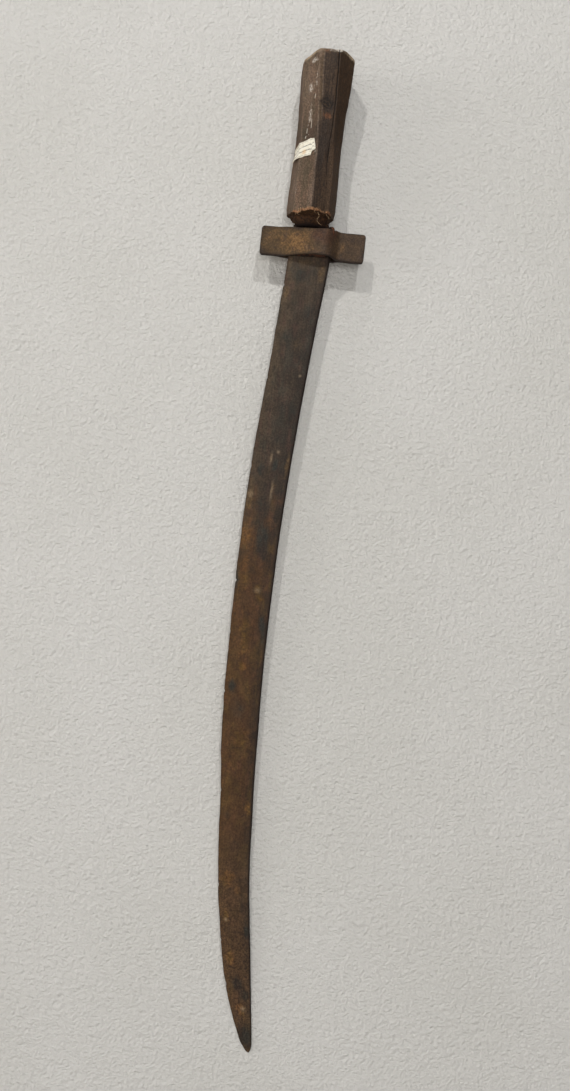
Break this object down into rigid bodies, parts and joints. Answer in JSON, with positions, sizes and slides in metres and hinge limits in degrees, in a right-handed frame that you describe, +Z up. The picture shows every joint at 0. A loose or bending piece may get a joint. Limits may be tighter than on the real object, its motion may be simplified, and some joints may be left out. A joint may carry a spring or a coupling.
{
  "type": "curved short sword",
  "caption": "Hand-forged short sword: curved single-edged blade with a tang, iron strip crossguard, carved eight-sided wooden grip.",
  "frame": {"origin": "the underside of the guard's left arm, in the middle of the front strip's thickness, where a peg or screw carries the sword", "axes": "+Z up the grip to the pommel end, blade pointing down -Z, +X along the guard to its right arm as seen from the front, front face towards -Y"},
  "size_m": [0.074, 0.0376, 0.7134],
  "materials": {
    "blade_iron": "hand-forged steel under a dark brown patina, pitted, with ochre rust",
    "guard_iron": "hammered iron strip, brown and golden rust patina, worn edges",
    "packing_iron": "scrap iron slip, red-brown scale, matt",
    "grip_wood": "knife-carved dark hardwood, hand-polished facets, dry cracks, frayed lower rim",
    "pitch": "blackened pitch and char, dull",
    "label_paper": "torn cream paper label, blank, slightly soiled"
  },
  "bodies": {
    "root": {"blade": "blade_iron", "guard_front_strip": "guard_iron", "guard_back_strip": "guard_iron", "packing_front": "packing_iron", "packing_back": "packing_iron", "grip": "grip_wood", "tang_pitch": "pitch", "paper_label": "label_paper"}
  },
  "joints": []
}
